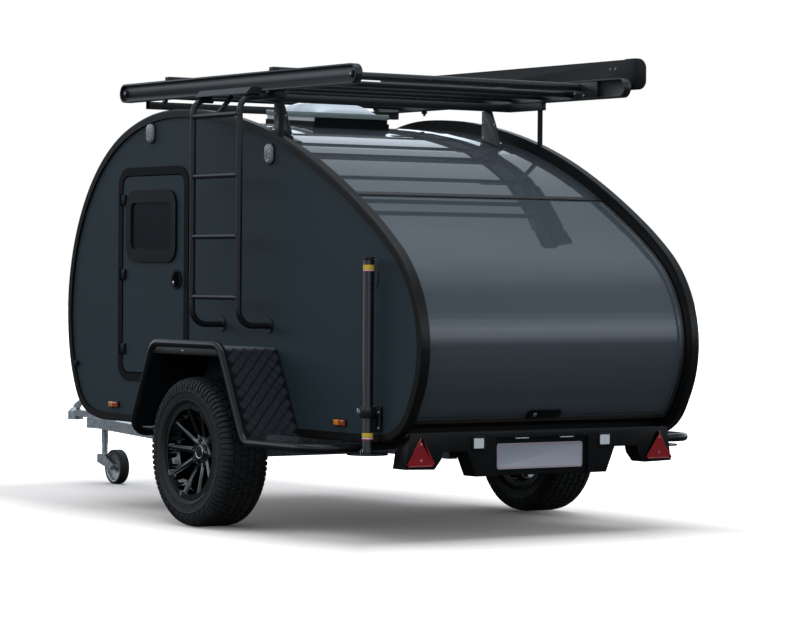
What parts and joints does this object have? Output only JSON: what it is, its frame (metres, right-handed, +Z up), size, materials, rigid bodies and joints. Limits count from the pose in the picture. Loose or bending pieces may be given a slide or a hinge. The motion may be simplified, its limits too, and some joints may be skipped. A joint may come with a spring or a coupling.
{
  "type": "teardrop camping trailer",
  "caption": "Off-road teardrop camping trailer with side doors, a rear hatch, roof rack, awning, ladder, rear steadies and a jockey wheel.",
  "frame": {"origin": "on the ground under the middle of the overall box: half way between the tail and the coupling nose, on the centre line", "axes": "+X forward to the coupling, +Y to the left side of the trailer, +Z up"},
  "size_m": [4.75, 2.31, 2.3195],
  "materials": {
    "body_paint": "satin",
    "hatch_paint": "gloss",
    "black_trim": "satin",
    "black_steel": "satin",
    "black_aluminium": "satin",
    "bright_aluminium": "satin",
    "chequer_plate": "satin",
    "galvanised": "satin",
    "wheel_alloy": "gloss",
    "tyre_rubber": "matte",
    "clear_plastic": "gloss",
    "white_plastic": "satin",
    "window_acrylic": "gloss",
    "red_lamp": "gloss",
    "amber_lamp": "gloss",
    "white_lamp": "gloss",
    "plate_white": "satin",
    "birch_ply": "satin",
    "mattress_cloth": "matte"
  },
  "bodies": {
    "trailer": {"floor_panel": "birch_ply", "front_panel": "hatch_paint", "roof_panel": "hatch_paint", "tail_sill": "black_trim", "hatch_hinge": "black_aluminium", "bulkhead": "birch_ply", "galley_unit": "birch_ply", "mattress": "mattress_cloth", "rooflight_curb": "white_plastic", "rooflight_lid": "clear_plastic", "chassis_rails": "galvanised", "crossmembers": "galvanised", "drawbar": "galvanised", "coupling": "galvanised", "handbrake": "black_steel", "jockey_clamp": "galvanised", "axle_beam": "galvanised", "suspension_arms": "black_steel", "fender_tubes": "black_steel", "fender_plates": "chequer_plate", "rack_side_rails": "black_aluminium", "rack_slats": "black_aluminium", "rack_bars": "black_aluminium", "rack_brackets": "black_steel", "awning": "black_trim", "ladder": "black_aluminium", "light_panel": "black_trim", "number_plate": "plate_white", "tail_reflectors": "red_lamp", "reversing_lamps": "white_lamp", "side_markers": "amber_lamp", "wall_lamps": "white_lamp", "steady_brackets": "black_steel", "side_wall_left": "body_paint", "edge_trim_left": "black_trim", "door_frame_left": "black_trim", "side_wall_right": "body_paint", "edge_trim_right": "black_trim", "door_frame_right": "black_trim"},
    "door_left": {"door_leaf_left": "body_paint", "window_frame_left": "black_trim", "window_pane_left": "window_acrylic", "door_lock_left": "black_trim"},
    "wheel_left": {"tyre_left": "tyre_rubber", "rim_left": "wheel_alloy"},
    "rear_steady_left": {"steady_left": "black_steel"},
    "door_right": {"door_leaf_right": "body_paint", "window_frame_right": "black_trim", "window_pane_right": "window_acrylic", "door_lock_right": "black_trim"},
    "wheel_right": {"tyre_right": "tyre_rubber", "rim_right": "wheel_alloy"},
    "rear_steady_right": {"steady_right": "black_steel"},
    "hatch": {"hatch_panel": "hatch_paint", "hatch_edges": "bright_aluminium", "hatch_latch": "black_trim"},
    "jockey_tube": {"jockey_mast": "galvanised"},
    "jockey_swivel": {"jockey_fork": "galvanised"},
    "jockey_wheel": {"jockey_disc": "galvanised", "jockey_tyre": "tyre_rubber"}
  },
  "joints": [
    {"name": "wheel_left_spin", "type": "hinge", "parent": "trailer", "child": "wheel_left", "pos_m": [-0.848, 1.0015, 0.366], "axis": [0, 1, 0], "continuous": true},
    {"name": "door_left_hinge", "type": "hinge", "parent": "trailer", "child": "door_left", "pos_m": [0.364, 0.817, 1.225], "axis": [0, 0, -1], "range_deg": [0, 115]},
    {"name": "rear_steady_left_slide", "type": "slide", "parent": "trailer", "child": "rear_steady_left", "axis": [0, 0, -1], "range_m": [0, 0.33]},
    {"name": "wheel_right_spin", "type": "hinge", "parent": "trailer", "child": "wheel_right", "pos_m": [-0.848, -1.0015, 0.366], "axis": [0, 1, 0], "continuous": true},
    {"name": "door_right_hinge", "type": "hinge", "parent": "trailer", "child": "door_right", "pos_m": [0.364, -0.817, 1.225], "axis": [0, 0, 1], "range_deg": [0, 115]},
    {"name": "rear_steady_right_slide", "type": "slide", "parent": "trailer", "child": "rear_steady_right", "axis": [0, 0, -1], "range_m": [0, 0.33]},
    {"name": "hatch_hinge_turn", "type": "hinge", "parent": "trailer", "child": "hatch", "pos_m": [-1.678, 0, 1.61017], "axis": [0, 1, 0], "range_deg": [0, 75]},
    {"name": "jockey_mast_slide", "type": "slide", "parent": "trailer", "child": "jockey_tube", "axis": [0, 0, 1], "range_m": [0, 0.09]},
    {"name": "jockey_swivel_turn", "type": "hinge", "parent": "jockey_tube", "child": "jockey_swivel", "pos_m": [2.103, -0.072, 0.2], "axis": [0, 0, 1], "continuous": true},
    {"name": "jockey_wheel_spin", "type": "hinge", "parent": "jockey_swivel", "child": "jockey_wheel", "pos_m": [1.957, -0.072, 0.1], "axis": [0, 1, 0], "continuous": true}
  ]
}
